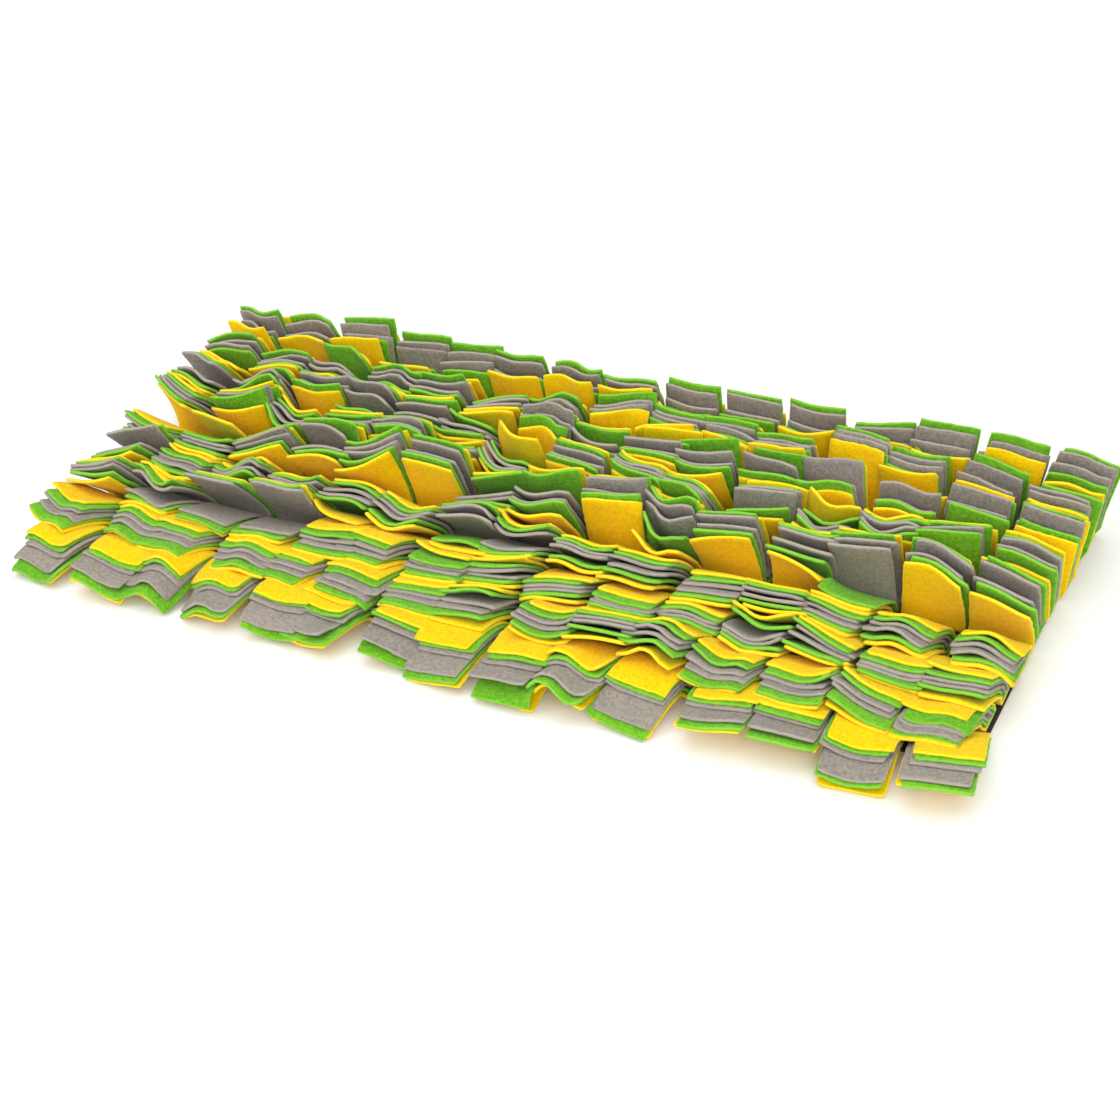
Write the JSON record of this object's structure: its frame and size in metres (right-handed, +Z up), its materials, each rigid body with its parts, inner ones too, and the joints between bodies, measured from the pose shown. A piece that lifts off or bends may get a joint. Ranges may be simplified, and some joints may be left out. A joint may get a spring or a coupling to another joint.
{
  "type": "snuffle mat",
  "caption": "Rectangular pet foraging mat: rows of yellow, green and grey fleece tabs sewn on a flat base cloth, the front rows flopping forward on to the ground.",
  "frame": {"origin": "middle of the underside of the base cloth, on the surface that the mat lies on", "axes": "+X along the rows of tabs to the right, +Y to the back edge, +Z up; the rows at -Y flop forward over the front edge"},
  "size_m": [0.7778, 0.3715, 0.0703],
  "materials": {
    "base_cloth": "matt woven cloth, charcoal",
    "yellow_fleece": "matt brushed fleece, bright yellow",
    "green_fleece": "matt brushed fleece, fresh green",
    "grey_fleece": "matt brushed fleece, warm grey"
  },
  "bodies": {
    "root": {"base_cloth": "base_cloth", "row1_yellow": "yellow_fleece", "row1_green": "green_fleece", "row1_grey": "grey_fleece", "row2_yellow": "yellow_fleece", "row2_green": "green_fleece", "row2_grey": "grey_fleece", "row3_yellow": "yellow_fleece", "row3_green": "green_fleece", "row3_grey": "grey_fleece", "row4_yellow": "yellow_fleece", "row4_green": "green_fleece", "row4_grey": "grey_fleece", "row5_yellow": "yellow_fleece", "row5_green": "green_fleece", "row5_grey": "grey_fleece", "row6_yellow": "yellow_fleece", "row6_green": "green_fleece", "row6_grey": "grey_fleece", "row7_yellow": "yellow_fleece", "row7_green": "green_fleece", "row7_grey": "grey_fleece", "row8_yellow": "yellow_fleece", "row8_green": "green_fleece", "row8_grey": "grey_fleece", "row9_yellow": "yellow_fleece", "row9_green": "green_fleece", "row9_grey": "grey_fleece"}
  },
  "joints": []
}
